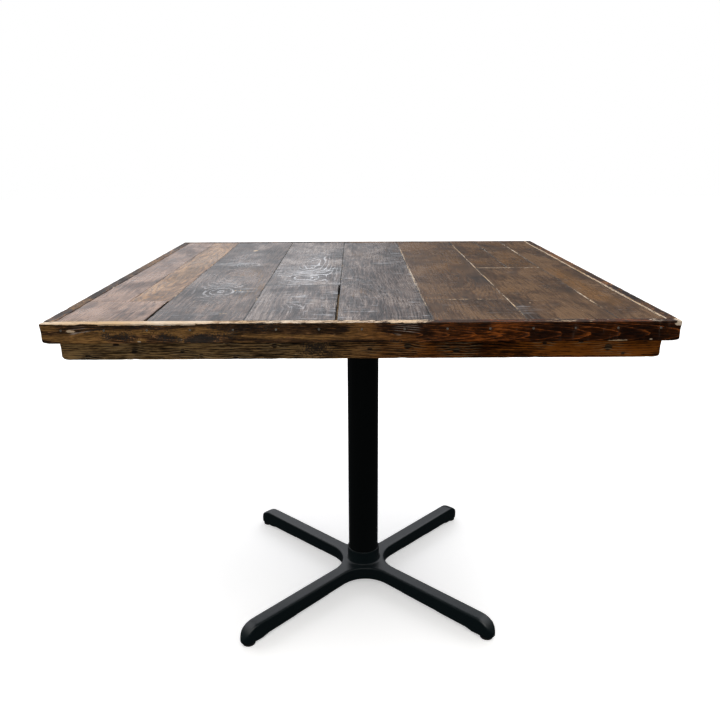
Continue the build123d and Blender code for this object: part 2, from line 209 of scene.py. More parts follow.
# ------------------------------------------------------------------ materials
class Tree:
    """A small helper for writing a material's nodes."""

    def __init__(self, name):
        self.mat = bpy.data.materials.new(name)
        self.mat.use_nodes = True
        self.nt = self.mat.node_tree
        self.nt.nodes.clear()
        self.out = self.nt.nodes.new("ShaderNodeOutputMaterial")
        self.bsdf = self.nt.nodes.new("ShaderNodeBsdfPrincipled")
        self.link(self.bsdf.outputs[0], self.out.inputs[0])
        self.coord = self.nt.nodes.new("ShaderNodeTexCoord").outputs["Object"]

    def link(self, a, b):
        self.nt.links.new(a, b)

    def put(self, socket, value):
        """Link a socket or set a plain value. None leaves the socket as it is."""
        if isinstance(value, bpy.types.NodeSocket):
            self.link(value, socket)
        elif value is not None:
            if isinstance(value, (tuple, list)) and len(value) == 3 and socket.type == "RGBA":
                value = (*value, 1.0)
            socket.default_value = value

    def math(self, op, a, b=None, c=None, clamp=False):
        n = self.nt.nodes.new("ShaderNodeMath")
        n.operation = op
        n.use_clamp = clamp
        for socket, value in zip(n.inputs, (a, b, c)):
            self.put(socket, value)
        return n.outputs[0]

    def attribute(self, name):
        n = self.nt.nodes.new("ShaderNodeAttribute")
        n.attribute_name = name
        return n.outputs["Fac"]

    def mapping(self, scale, offset=(0, 0, 0)):
        n = self.nt.nodes.new("ShaderNodeMapping")
        self.link(self.coord, n.inputs["Vector"])
        n.inputs["Scale"].default_value = scale
        n.inputs["Location"].default_value = offset
        return n.outputs[0]

    def noise(self, vector, detail=3.0, rough=0.5, distort=0.0):
        n = self.nt.nodes.new("ShaderNodeTexNoise")
        self.link(vector, n.inputs["Vector"])
        n.inputs["Scale"].default_value = 1.0
        n.inputs["Detail"].default_value = detail
        n.inputs["Roughness"].default_value = rough
        n.inputs["Distortion"].default_value = distort
        return n.outputs["Fac"]

    def ramp(self, fac, stops):
        """A colour ramp through (position, colour or grey) stops."""
        n = self.nt.nodes.new("ShaderNodeValToRGB")
        self.link(fac, n.inputs[0])
        ramp = n.color_ramp
        while len(ramp.elements) < len(stops):
            ramp.elements.new(0.5)
        for e, (pos, colour) in zip(ramp.elements, stops):
            e.position = pos
            if not isinstance(colour, (tuple, list)):
                colour = (colour, colour, colour)
            e.color = (*colour[:3], 1.0)
        return n.outputs[0]

    def mask(self, fac, lo, hi):
        """0 below lo and 1 above hi, smoothly between."""
        n = self.nt.nodes.new("ShaderNodeMapRange")
        n.interpolation_type = "SMOOTHSTEP"
        self.put(n.inputs["Value"], fac)
        n.inputs["From Min"].default_value = lo
        n.inputs["From Max"].default_value = hi
        return n.outputs[0]

    def mix(self, fac, a, b, blend="MIX"):
        n = self.nt.nodes.new("ShaderNodeMix")
        n.data_type = "RGBA"
        n.blend_type = blend
        self.put(n.inputs[0], fac)
        self.put(n.inputs[6], a)
        self.put(n.inputs[7], b)
        return n.outputs[2]

    def bump(self, height, strength, distance):
        n = self.nt.nodes.new("ShaderNodeBump")
        self.put(n.inputs["Height"], height)
        n.inputs["Strength"].default_value = strength
        n.inputs["Distance"].default_value = distance
        return n.outputs[0]

    def set(self, **inputs):
        """Put values on the shader's inputs, which are named with _ for a space."""
        for key, value in inputs.items():
            self.put(self.bsdf.inputs[key.replace("_", " ")], value)


GRAIN_PROFILES = {
    "dark": [(0.0, 0.8), (0.12, 0.1), (0.55, 0.28), (0.86, 0.85), (0.97, 1.0)],
    "pale": [(0.0, 0.85), (0.1, 0.1), (0.2, 0.55), (0.55, 0.8), (0.9, 1.0)],
    "rim": [(0.0, 1.0), (0.45, 0.95), (0.8, 0.8), (0.91, 0.35), (0.96, 0.1), (0.99, 0.95)],
}
SWIRL_LINE = [(0.0, 0.0), (0.06, 1.0), (0.15, 0.9), (0.24, 0.0)]
CLOUD_CELLS = {"X": (60, 60, 60), "Y": (28, 100, 60)}
RUB_CELLS = {"X": (90, 24, 24), "Y": (22, 105, 24)}
KNOT_COLOUR = (0.012, 0.007, 0.005)
SOOT_AND_SHADE_PALE, SOOT_AND_SHADE_DARK = (0.05, 0.048, 0.046), (0.004, 0.004, 0.004)
DEEP_TINT = (0.85, 0.4, 0.1)
BARE_TO_TAN = (0.78, 0.64, 0.46)


def shaded(colour, share):
    """A colour at that share of its brightness."""
    return tuple(v * share for v in colour)


def wood(name, along, light, mid, dark, offset, rings=330.0, warm=(0.2, 0.1, 0.04), rough=0.3,
         coat=0.5, contrast=1.0, bare=(0.55, 0.37, 0.2), pale_and_sheen_colour=(0.55, 0.56, 0.58),
         lines="dark", scuff=0.0, streaky=1.0, streaks=170.0, k=0.06, pale_and_sheen_gain=0.6,
         wobble=1.5, level=0.5, swirl_gain=0.85, pore=0.5, gold=0.35, cloudy=1.5):
    """Stained, varnished wood. Its figure follows the mesh's "ring" attribute. "knot" darkens,
    "wear" bares the wood, the pale attribute is pale scuffing plus a painted sheen of reflected
    light, "swirl" draws pale rings in that painted sheen, and "warm", "black" and "deep" are
    patches, where "black" also carries painted shade. k is its streaks' width as a share of their
    length."""
    t = Tree(name)
    shift = tuple(v + 7.3 for v in offset)

    def fibrous(cells, share, place):
        """Noise cells to the metre, with only that share of them along the grain."""
        return t.mapping(tuple(cells * (share if axis == along else 1) for axis in "XYZ"), place)

    def around(value, gain):
        return t.math("MULTIPLY", t.math("SUBTRACT", value, 0.5), gain)

    def patches(attribute, ragged, gain, lo, hi):
        """The areas that an attribute marks, with an edge that a noise makes ragged."""
        return t.mask(t.math("ADD", t.attribute(attribute), around(ragged, gain)), lo, hi)

    # Noises, from the finest fibres to broad changes of tone.
    fibre = t.noise(fibrous(800, k, offset), detail=3, rough=0.6)
    streak = t.noise(fibrous(streaks, k, shift), detail=5, rough=0.65)
    blotch = t.noise(fibrous(13, 0.5, offset), detail=5, rough=0.62, distort=0.5)
    fine = t.noise(t.mapping((420, 420, 420), offset), detail=3, rough=0.6)
    tone = t.noise(fibrous(5.5, 0.7, shift), detail=4, rough=0.6, distort=0.8)

    # The stain, darker or lighter with the growth rings and the noises.
    grain = t.math("MULTIPLY_ADD", t.attribute("ring"), rings, t.math("MULTIPLY", streak, wobble))
    phase = t.math("FRACT", grain)
    band = t.math("MULTIPLY", t.ramp(phase, GRAIN_PROFILES[lines]), 0.75 * contrast)
    shade = t.math("ADD", band, around(streak, 2.2 * streaky))
    shade = t.math("ADD", shade, around(blotch, 2.4))
    shade = t.math("ADD", shade, around(fibre, 1.1 * streaky))
    shade = t.math("ADD", shade, around(tone, cloudy))
    shade = t.math("ADD", shade, 0.375 * (1 - contrast))
    colour = t.ramp(shade, [(0.0, light), (0.42, mid), (0.95, dark)])

    # Patches: warm with gold fibres, sooty black that also carries painted shade, deep red-brown,
    # and knots.
    gold_fibre = t.mask(t.math("ADD", streak, around(fibre, 0.6)), 0.47, 0.6)
    warm_wood = t.mix(shade, warm, shaded(warm, 0.3))
    warm_wood = t.mix(t.math("MULTIPLY", gold_fibre, gold), warm_wood, shaded(warm, 0.24))
    colour = t.mix(patches("warm", streak, 2.6, 0.42, 0.66), colour, warm_wood)
    black = t.math("MULTIPLY", patches("black", fine, 2.6, 0.42, 0.66), 0.85)
    colour = t.mix(black, colour, t.mix(fine, SOOT_AND_SHADE_PALE, SOOT_AND_SHADE_DARK))
    colour = t.mix(t.attribute("deep"), colour, DEEP_TINT, "MULTIPLY")
    knot = t.math("MULTIPLY", patches("knot", fine, 0.9, 0.25, 0.75), 0.92)
    colour = t.mix(knot, colour, KNOT_COLOUR)

    # Dark pores, then the pale marks and painted sheen: clouds, rubbed places, scratches and
    # swirling rings, which paint a sheen of reflected light along with real scuffs.
    pores = t.noise(fibrous(1100, 0.03, offset), detail=3, rough=0.55)
    colour = t.mix(t.math("MULTIPLY", t.mask(pores, 0.56, 0.7), pore), colour, shaded(dark, 0.3))
    cloud = t.noise(t.mapping(CLOUD_CELLS[along], offset), detail=6, rough=0.72)
    pale_and_sheen = patches("pale_and_sheen", cloud, 2.4, 0.4, 1.05)
    rub = t.noise(t.mapping(RUB_CELLS[along], shift), detail=6, rough=0.72, distort=0.3)
    scratch = t.noise(fibrous(1500, 0.02, shift), detail=2, rough=0.5)
    rubbed = t.math("ADD", t.mask(rub, 0.55, 0.66), t.mask(scratch, 0.64, 0.74))
    rubbed = t.math("MULTIPLY", rubbed, t.mask(tone, 0.4, 0.62), clamp=True)
    pale_and_sheen = t.math("MULTIPLY_ADD", rubbed, scuff, pale_and_sheen, clamp=True)
    swirl = t.math("MULTIPLY", t.ramp(phase, SWIRL_LINE), patches("swirl", blotch, 1.2, 0.3, 0.7))
    pale_and_sheen = t.math("MULTIPLY_ADD", swirl, swirl_gain, pale_and_sheen, clamp=True)
    # The pale colour lays both pale scuffs and a painted sheen of reflected light into the base
    # colour.
    colour = t.mix(t.math("MULTIPLY", pale_and_sheen, pale_and_sheen_gain), colour, pale_and_sheen_colour)

    # Bare wood where the stain has worn off.
    ragged = t.noise(fibrous(240, 0.3, offset), detail=5, rough=0.7)
    wear = patches("wear", ragged, 2.4, 0.5, 0.62)
    tan = tuple(v * share for v, share in zip(bare, BARE_TO_TAN))
    bare_wood = t.mix(t.mask(blotch, 0.4, 0.62), bare, tan)
    bare_wood = t.mix(t.mask(fibre, 0.5, 0.75), bare_wood, shaded(bare, 0.5))
    colour = t.mix(wear, colour, bare_wood)

    roughness = t.math("ADD", around(blotch, 0.5), rough)
    roughness = t.math("ADD", roughness, t.math("MULTIPLY", pale_and_sheen, 0.15))
    roughness = t.math("ADD", roughness, t.math("MULTIPLY", wear, 0.3), clamp=True)
    height = t.math("ADD", t.math("MULTIPLY", band, -0.6), around(fibre, 1.0))
    height = t.math("ADD", height, around(streak, 1.6))
    t.set(Base_Color=colour, Roughness=roughness, Normal=t.bump(height, 0.8, 0.0009),
          Coat_Weight=coat, Coat_Roughness=0.2, Specular_IOR_Level=level,
          Coat_Normal=t.bump(height, 0.7, 0.0008))
    return t.mat


# ------------------------------------------------------------------ figure of a board
def ring_field(u, v, w, pith, seed, knots=(), meander=0.012, tilt=0.0):
    """Distance from a log's pith, u along the board, v across it and w through it, in metres.
    pith is (v, depth under w = 0). Each knot is (u, v, size, strength)."""
    p = np.stack([u, v, w], 1)
    bend = (fbm(p, (2.3, 1.0, 1.0), seed, 3) - 0.5) * 2 * meander
    dive = (fbm(p, (1.6, 0.5, 0.5), seed + 5, 3) - 0.5) * 2 * meander * 2.2
    dv = v - pith[0] + bend
    dw = w + pith[1] + dive + tilt * u
    ring = np.hypot(dv, dw)
    ring = ring + (fbm(p, (9, 26, 26), seed + 9, 3) - 0.5) * 0.0075
    ring = ring + (fbm(p, (30, 60, 60), seed + 13, 3) - 0.5) * 0.002
    for ku, kv, size, strength in knots:
        d2 = ((u - ku) / (2.6 * size)) ** 2 + ((v - kv) / (1.15 * size)) ** 2
        ring = ring + strength * size * np.exp(-d2)
    return ring


def knot_field(u, v, knots, seed):
    p = np.stack([u, v, v * 0], 1)
    wob = 0.75 + 0.5 * fbm(p, (120, 120, 1), seed, 2)
    out = np.zeros(len(u))
    for ku, kv, size, dark in knots:
        d = np.hypot((u - ku) / (1.25 * size), (v - kv) / size) * wob
        out = np.maximum(out, dark * (1 - step(d, 0.55, 1.1)))
    return out


BODY = "table"


def finish_piece(ob, material, slot, *nodes):
    ob.data.materials.append(material)
    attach(ob, BODY)
    if nodes:
        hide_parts(*nodes)
    return ob


# ------------------------------------------------------------------ the planks
# Per plank: light, mid and dark stain, pith (across, depth), knots (along, across, size, pull).
BROWN = ((0.17, 0.098, 0.05), (0.078, 0.042, 0.021), (0.02, 0.012, 0.007))
UMBER = ((0.2, 0.14, 0.108), (0.07, 0.047, 0.037), (0.008, 0.006, 0.005))
GREY = ((0.27, 0.22, 0.19), (0.115, 0.083, 0.07), (0.014, 0.01, 0.009))
LILAC = ((0.36, 0.225, 0.155), (0.185, 0.108, 0.073), (0.05, 0.03, 0.022))
TAN = ((0.42, 0.235, 0.1), (0.225, 0.116, 0.048), (0.08, 0.042, 0.021))
# What the planks at the left, in the middle and at the right have in common.
# The bluish pale colour of the left and middle planks paints the sheen of a pale wall's reflection
# into the colour.
LEFT = dict(
    seam=0.4, soot=0.15, figure="dark", rings=240.0, warm=(0.3, 0.16, 0.06), rough=0.3, coat=0.12,
    scuff=0.5, contrast=0.7, cloudy=0.7, pale_and_sheen_colour=(0.8, 0.83, 0.88), pale_and_sheen_gain=0.5,
)
MIDDLE = dict(
    seam=1.0, soot=0.45, figure="pale", rings=140.0, warm=(0.3, 0.16, 0.06), rough=0.3, coat=0.25,
    scuff=0.75, contrast=0.9, pale_and_sheen_colour=(0.8, 0.83, 0.88), pale_and_sheen_gain=0.85,
)
RIGHT = dict(
    seam=0.7, soot=0.45, figure="dark", rings=240.0, warm=(0.2, 0.1, 0.035), rough=0.27, coat=0.02,
    scuff=0.35, contrast=0.4, streaky=0.6, pore=0.25, pale_and_sheen_colour=(0.36, 0.36, 0.37),
    pale_and_sheen_gain=0.5, level=0.15,
)
PLANK_BARE = (0.66, 0.57, 0.47)


def plank_look(group, stain, pith, *knots, **changes):
    """A plank's look: its group's with its own stain, pith, knots and changes."""
    return dict(group, stain=stain, pith=pith, knots=knots, **changes)


PLANK_LOOK = [
    plank_look(LEFT, LILAC, (0.05, 0.05)),
    plank_look(LEFT, LILAC, (-0.06, 0.03)),
    plank_look({**LEFT, "pale_and_sheen_gain": 0.2}, TAN, (0.0, 0.09), (-0.14, -0.39, 0.004, 1.0)),
    plank_look(
        {**MIDDLE, "coat": 0.12, "pale_and_sheen_gain": 0.55}, UMBER, (-0.01, 0.022),
        (-0.245, -0.272, 0.028, 1.5), (0.09, -0.258, 0.03, 1.4), (-0.09, -0.25, 0.022, -1.2),
    ),
    plank_look(MIDDLE, GREY, (0.02, 0.05), (-0.33, -0.12, 0.02, -0.6), cross_seam=1.6),
    plank_look(
        MIDDLE, GREY, (0.0, 0.03), (-0.1, -0.115, 0.034, 1.6), (0.2, -0.12, 0.02, 1.0),
        cross_seam=1.6,
    ),
    plank_look(
        {**MIDDLE, "rings": 240.0, "pale_and_sheen_gain": 0.66}, GREY, (-0.05, 0.07), (0.3, 0.02, 0.02, 1.0)
    ),
    plank_look({**RIGHT, "level": 0.26}, BROWN, (0.03, 0.05)),
    plank_look({**RIGHT, "level": 0.26}, BROWN, (0.02, 0.045), (0.33, 0.19, 0.015, 1.0)),
    plank_look(RIGHT, BROWN, (-0.03, 0.05), (-0.27, 0.32, 0.012, 1.0)),
    plank_look(RIGHT, BROWN, (0.04, 0.04), (0.24, 0.305, 0.015, 1.0)),
    plank_look(RIGHT, BROWN, (-0.02, 0.05)),
    plank_look(RIGHT, BROWN, (0.01, 0.06), (-0.2, 0.45, 0.01, 1.0)),
]
PLANK_STEP_X, PLANK_STEP_Y = 0.0042, 0.0055  # mesh spacing across and along
PLANK_EDGE_LINES = (0.0007, 0.0016, 0.003)  # extra mesh lines at these depths from each side
TOP_SKIN = 0.0012  # what lies less than this far down counts as the top face
SEAM_REACH, CROSS_SEAM_REACH = 0.0019, 0.0042


def make_plank(number, look):
    """A plank with rounded, slightly chipped arrises, cupping and dents, and its marks."""
    node = f"plank_{number:02d}"
    lo, hi = planks[node]
    seed = 40 + number
    xs = lines(lo.x, hi.x, PLANK_STEP_X, PLANK_EDGE_LINES)
    ys = lines(lo.y, hi.y, PLANK_STEP_Y, PLANK_EDGE_LINES)
    zs = np.array([lo.z, lo.z + 0.012, hi.z - 0.0035, hi.z - 0.0017, hi.z - 0.0007, hi.z])
    co, quads = shell(xs, ys, zs)
    p = co.copy()
    flat = p * (1, 1, 0)

    def patchy(scale, turn, octaves, at_lo, at_hi):
        return step(fbm(flat, scale, seed + turn, octaves), at_lo, at_hi)

    rag = fbm(flat + seed, (70, 45, 1), seed, 4)
    radius = 0.0007 + 0.0022 * step(rag, 0.48, 0.8)
    upper = p[:, 2] > hi.z - 0.01
    co = np.where(upper[:, None], rounded(co, lo, hi, radius), co)
    cup = fbm(flat + 3.0 * number, (5, 1.6, 1), seed + 1, 3)
    sink = 0.0003 + 0.0007 * cup + 0.0008 * patchy((38, 30, 1), 2, 3, 0.66, 0.85)
    on_face = p[:, 2] > hi.z - 1e-5
    co[:, 2] -= np.where(on_face, sink, np.where(upper, sink * 0.5, 0))

    pith = ((lo.x + hi.x) / 2 + look["pith"][0], look["pith"][1])
    ring = ring_field(p[:, 1], p[:, 0], p[:, 2] - TOP, pith, seed, look["knots"])
    knots = [(u, v, size * 0.28, 0.9) for u, v, size, _ in look["knots"]]

    top = p[:, 2] > hi.z - TOP_SKIN
    from_end = np.minimum(p[:, 1] - lo.y, hi.y - p[:, 1])
    edge = np.minimum.reduce([p[:, 0] - lo.x, hi.x - p[:, 0], from_end])
    seam = look["seam"] * np.exp(-((edge / SEAM_REACH) ** 2))
    cross_seam = look.get("cross_seam", 0.0) * np.exp(-((from_end / CROSS_SEAM_REACH) ** 2))
    # Painted shade: all below the top face, the plank's sides in the gaps and its underside, is
    # blackened.
    seam = np.maximum(seam + cross_seam, 1.4 * (p[:, 2] < hi.z - TOP_SKIN))
    edge_wear = 0.45 * step(0.002 - edge, -0.0012, 0.002) * patchy((6, 9, 1), 3, 2, 0.46, 0.66)
    # Pale patches: a painted sheen mixed with pale scuffing.
    pale_and_sheen = 0.3 * patchy((7, 5, 1), 4, 3, 0.5, 0.75)
    warm = 0.5 * patchy((5, 4, 1), 6, 3, 0.56, 0.8)
    black = look["soot"] * patchy((8, 9, 1), 8, 3, 0.6, 0.8)
    swirl = 0.25 * patchy((4, 3, 1), 11, 2, 0.5, 0.7)
    marks = top_marks(p)
    seam = seam * (1 - np.clip(marks["wear"], 0, 1))
    attributes = {
        "ring": ring,
        "knot": knot_field(p[:, 1], p[:, 0], knots, seed) * top,
        "wear": np.clip(edge_wear + marks["wear"], 0, 1) * top,
        "pale_and_sheen": np.clip(pale_and_sheen + marks["pale_and_sheen"], 0, 1) * top,
        "warm": np.clip(warm + marks["warm"], 0, 1),
        "black": np.clip(black + marks["black"] + seam, 0, 1),
        "deep": np.zeros(len(p)),
        "swirl": np.clip(marks["swirl"] + swirl, 0, 1) * top,
    }
    ob = make_mesh(f"{node}_top", co, quads, attributes)
    finish = {k: v for k, v in look.items() if k in WOOD_KEYS}
    material = wood(
        f"plank_wood_{number:02d}", "Y", *look["stain"], (number * 3.7, number * 1.3, 0.0),
        bare=PLANK_BARE, lines=look["figure"], **finish,
    )
    return finish_piece(ob, material, "plank_wood", node)


WOOD_KEYS = (
    "rings", "warm", "rough", "coat", "scuff", "contrast", "streaky", "cloudy", "pore",
    "pale_and_sheen_colour", "pale_and_sheen_gain", "level",
)
# Places on the top: x, y, reach in x, reach in y, amount.
TOP_MARKS = {
    # Pale patches that paint the sheen's bright places into the colour, with a few real pale scuffs
    # and a pale dot.
    "pale_and_sheen": (
        (-0.11, 0.22, 0.06, 0.22, 0.4), (-0.1, -0.32, 0.08, 0.14, 0.4),
        (-0.11, -0.05, 0.06, 0.08, 0.25), (-0.24, -0.24, 0.03, 0.03, 0.5),
        (-0.235, -0.437, 0.03, 0.02, 0.5), (-0.276, 0.324, 0.007, 0.012, 0.9),
        (-0.3, 0.1, 0.06, 0.04, 0.5), (-0.45, 0.16, 0.03, 0.12, 0.4),
        (-0.135, 0.42, 0.07, 0.05, 0.2), (-0.02, 0.14, 0.04, 0.03, 0.4),
        (0.335, -0.047, 0.03, 0.04, 0.5), (0.272, -0.41, 0.02, 0.03, 0.4),
        (0.148, -0.372, 0.03, 0.015, 0.45), (0.429, -0.228, 0.012, 0.02, 0.5),
    ),
    "swirl": (
        (-0.272, -0.2, 0.05, 0.13, 1.0), (-0.26, 0.09, 0.04, 0.06, 0.8),
        (-0.112, -0.1, 0.045, 0.09, 1.0), (-0.1, 0.08, 0.03, 0.15, 0.8),
        (-0.11, -0.38, 0.05, 0.08, 0.4),
    ),
    "wear": (
        (-0.276, 0.324, 0.0065, 0.011, 1.4), (-0.3, -0.335, 0.003, 0.008, 0.6),
        (-0.234, -0.237, 0.02, 0.007, 0.62), (-0.235, -0.437, 0.02, 0.006, 0.55),
        (0.3, -0.36, 0.004, 0.008, 0.55), (-0.21, -0.25, 0.004, 0.006, 0.5),
    ),
    "warm": (
        (-0.38, -0.02, 0.03, 0.2, 0.9), (0.44, -0.072, 0.03, 0.12, 0.8),
        (0.44, -0.3, 0.03, 0.12, 0.9), (0.288, 0.101, 0.02, 0.05, 0.7),
        (0.36, 0.1, 0.03, 0.05, 0.5), (0.45, 0.3, 0.02, 0.1, 0.4),
    ),
    "black": (
        (-0.474, -0.392, 0.02, 0.05, 0.5), (0.112, -0.465, 0.004, 0.025, 1.8),
        (0.295, -0.276, 0.02, 0.03, 0.5), (0.313, 0.244, 0.02, 0.05, 0.4),
        (0.469, 0.27, 0.02, 0.08, 0.4), (0.16, -0.28, 0.04, 0.03, 0.4),
    ),
}
# Worn joints: where the joint is, where the wear starts and ends along it, amount.
WORN_JOINTS = (
    (0.113, -0.4, 0.42, 0.6), (0.266, -0.489, 0.45, 0.44), (0.413, -0.45, -0.16, 0.36),
    (0.488, -0.489, 0.489, 1.0), (0.413, 0.22, 0.45, 0.5), (-0.423, 0.0, 0.36, 0.66),
)
WORN_CROSS_JOINTS = ((-0.331, 0.15, 0.266, 0.5), (0.022, 0.266, 0.43, 0.5))


def worn_line(over, along, place, start, end, amount, reach, fade):
    """Wear beside a line, which fades in and out over a length at its ends."""
    beside = np.exp(-(((over - place) / reach) ** 2))
    return amount * (beside * step(along, start, start + fade) * (1 - step(along, end - fade, end)))


def top_marks(p):
    """Marks at particular places on the top: pale scuffs and painted sheen, worn joints and
    coloured patches.
    """
    x, y = p[:, 0], p[:, 1]
    out = {key: blobs(p, marks) for key, marks in TOP_MARKS.items()}
    for joint in WORN_JOINTS:
        out["wear"] = out["wear"] + worn_line(x, y, *joint, 0.0017, 0.03)
    for joint in WORN_CROSS_JOINTS:
        out["wear"] = out["wear"] + worn_line(y, x, *joint, 0.003, 0.01)
    return out


for number, look in enumerate(PLANK_LOOK, 1):
    make_plank(number, look)


# ------------------------------------------------------------------ boards that lie along a side
BOARD_STEP_ALONG, BOARD_STEP_HIGH = 0.003, 0.0022
BOARD_EDGE_LINES = (0.0006, 0.0013, 0.0024, 0.004)


def board(name, node, along, slot, look):
    """A long board that replaces a CAD node. along is its long axis, X or Y. Its look's functions
    take u along it, v across it, w upwards, the points and the two corners of its box."""
    lo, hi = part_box(node)
    a, c = (0, 1) if along == "X" else (1, 0)
    grid = [None, None, None]
    grid[a] = lines(lo[a], hi[a], BOARD_STEP_ALONG, BOARD_EDGE_LINES)
    grid[c] = lines(lo[c], hi[c], look.get("step_across", BOARD_STEP_HIGH), BOARD_EDGE_LINES)
    grid[2] = lines(lo.z, hi.z, BOARD_STEP_HIGH, BOARD_EDGE_LINES)
    co, quads = shell(*grid)
    p = co.copy()
    u, v, w = p[:, a], p[:, c], p[:, 2]
    seed = look["seed"]

    # Arrises: a chipped radius, larger at the lower corners of the ends.
    rag = fbm(p, (60, 60, 60), seed, 4)
    radius = look["radius"] * (0.6 + 1.2 * rag) + look["chip"] * step(rag, 0.6, 0.85)
    from_end = np.minimum(u - lo[a], hi[a] - u)
    lower = 1 - step(w, (lo.z + hi.z) / 2, hi.z)
    end_radius = look.get("end_radius", 0) * (1 - step(from_end, 0.004, 0.014)) * lower
    co = rounded(co, lo, hi, radius + end_radius)

    # Faces that are a little uneven.
    inward = np.sign(np.array([(lo[i] + hi[i]) / 2 for i in range(3)]) - p)
    skin = 0.00015 + 0.0005 * fbm(p, (30, 30, 30), seed + 1, 4)
    from_face = [np.minimum(p[:, i] - lo[i], hi[i] - p[:, i]) for i in range(3)]
    co = co + inward * (np.stack(from_face, 1) < 1e-6) * skin[:, None]

    knots = look.get("knots", ())
    halo = np.zeros(len(u))
    for ku, kw, size, _ in knots:
        near = ((u - ku) / (6 * size)) ** 2 + ((w - kw) / (3 * size)) ** 2
        halo = np.maximum(halo, np.exp(-near))
    attributes = {
        "ring": look["ring"](u, v, w, p),
        "knot": knot_field(u, w, knots, seed),
        "swirl": halo,
    }
    for key in ("wear", "pale_and_sheen", "warm", "black", "deep"):
        field = look.get(key)
        amount = field(u, v, w, p, lo, hi) if field else np.zeros(len(u))
        attributes[key] = np.clip(amount, 0, 1)
    ob = make_mesh(name, co, quads, attributes)
    return finish_piece(ob, look["material"], slot, node)


DARK_EDGE = ((0.34, 0.175, 0.07), (0.055, 0.028, 0.012), (0.009, 0.0045, 0.0026))
GOLDEN = ((0.38, 0.24, 0.1), (0.105, 0.064, 0.026), (0.008, 0.005, 0.0025))

edging_material = {
    side: wood(
        f"edging_wood_{side}", LONG_AXIS[side], *DARK_EDGE, (i * 5.1, i * 2.3, 1.7),
        rings=430.0, warm=(0.4, 0.215, 0.07), rough=0.42, coat=0.03, bare=(0.74, 0.62, 0.49),
        gold=0.9, lines="rim", pale_and_sheen_colour=(0.5, 0.42, 0.36), scuff=0.1, streaks=430.0, k=0.1,
        streaky=1.1, wobble=0.35, level=0.16,
    )
    for i, side in enumerate(SIDES)
}
rail_material = {
    side: wood(
        f"frame_wood_{side}", LONG_AXIS.get(side, "Y"), *GOLDEN, (i * 4.7, i * 3.1, 2.9),
        rings=380.0, warm=(0.24, 0.14, 0.05), rough=0.5, gold=0.6, coat=0.0, contrast=0.9,
        bare=(0.5, 0.36, 0.2), pale_and_sheen_colour=(0.5, 0.36, 0.2), streaks=360.0, k=0.1, streaky=1.2,
        wobble=0.8, level=0.25,
    )
    for i, side in enumerate(SIDES + ("centre",))
}

# Places on the front strip's face: x, z, reach in x, reach in z, amount.
FRONT_CHIPS = (
    (-0.4585, 0.7685, 0.0075, 0.0019, 1.3), (0.5035, 0.7765, 0.006, 0.004, 1.5),
    (0.405, 0.7492, 0.022, 0.0016, 0.7), (0.46, 0.752, 0.004, 0.003, 0.6),
    (-0.35, 0.754, 0.007, 0.004, 0.42), (-0.286, 0.755, 0.004, 0.006, 0.36),
    (-0.258, 0.7712, 0.007, 0.0016, 0.5), (-0.47, 0.76, 0.004, 0.002, 0.45),
)
FRONT_WARM = (
    (-0.35, 0.753, 0.012, 0.006, 1.0), (-0.286, 0.754, 0.008, 0.008, 1.0),
    (-0.258, 0.772, 0.02, 0.003, 1.0), (-0.16, 0.76, 0.06, 0.005, 0.9),
    (-0.03, 0.757, 0.06, 0.005, 0.9), (0.05, 0.758, 0.06, 0.006, 0.7),
)
FRONT_BLACK = (
    (-0.405, 0.758, 0.009, 0.006, 0.6), (-0.372, 0.757, 0.022, 0.006, 0.7),
    (-0.314, 0.757, 0.022, 0.008, 0.72), (-0.255, 0.755, 0.026, 0.006, 0.75),
    (-0.228, 0.773, 0.024, 0.004, 0.6), (0.055, 0.7505, 0.014, 0.003, 0.7),
    (0.49, 0.765, 0.03, 0.02, 0.4), (0.11, 0.751, 0.01, 0.003, 0.6),
)


def on_face(u, w, marks):
    """The sum of marks placed along and up a board's face."""
    return blobs(np.stack([u, w], 1), marks)


def front_wear(u, v, w, p, lo, hi):
    """The strip's top arris is worn bare on the left, and only in small places on the right."""
    n = fbm(p, (14, 14, 14), 300, 4)
    left = 1 - step(u, -0.1, 0.24)
    reach = hi.z - 0.0012 - 0.003 * step(n, 0.42, 0.66) * left
    top = step(w, reach, reach + 0.0015)
    out = top * (0.12 + 0.68 * left + (1.1 - 0.4 * left) * (n - 0.5))
    return out + on_face(u, w, FRONT_CHIPS)


def front_warm(u, v, w, p, lo, hi):
    n = fbm(p, (7, 60, 60), 310, 4)
    base = 0.85 * step(n, 0.45, 0.62) * (0.35 + 0.65 * (1 - step(u, 0.0, 0.3)))
    return base + on_face(u, w, FRONT_WARM)


def front_black(u, v, w, p, lo, hi):
    n = fbm(p, (12, 40, 40), 320, 4)
    patches = 0.45 * step(n, 0.52, 0.7) * (1 - 0.85 * step(u, 0.1, 0.3))
    # Painted shade: the strip's top face is darkened from the middle to the right.
    shade_on_top = 0.45 * step(w, hi.z - 0.002, hi.z) * step(u, 0.05, 0.15)
    return patches + shade_on_top + on_face(u, w, FRONT_BLACK)


def front_deep(u, v, w, p, lo, hi):
    """The front strip turns a darker red-brown towards the right."""
    return 0.1 + 0.85 * step(u, -0.1, 0.2)


def side_wear(u, v, w, p, lo, hi):
    """The other strips are worn along both top arrises, and at the joint on the right."""
    n = fbm(p, (16, 16, 16), 330, 4)
    top = step(w, hi.z - 0.0022, hi.z - 0.0004)
    arris = np.exp(-((np.minimum(v - min(v), max(v) - v) / 0.0016) ** 2))
    seam = top * np.exp(-(((p[:, 0] - 0.4892) / 0.0011) ** 2))
    return top * arris * (0.3 + 0.9 * (n - 0.5)) + 0.15 * step(n, 0.62, 0.8) + seam


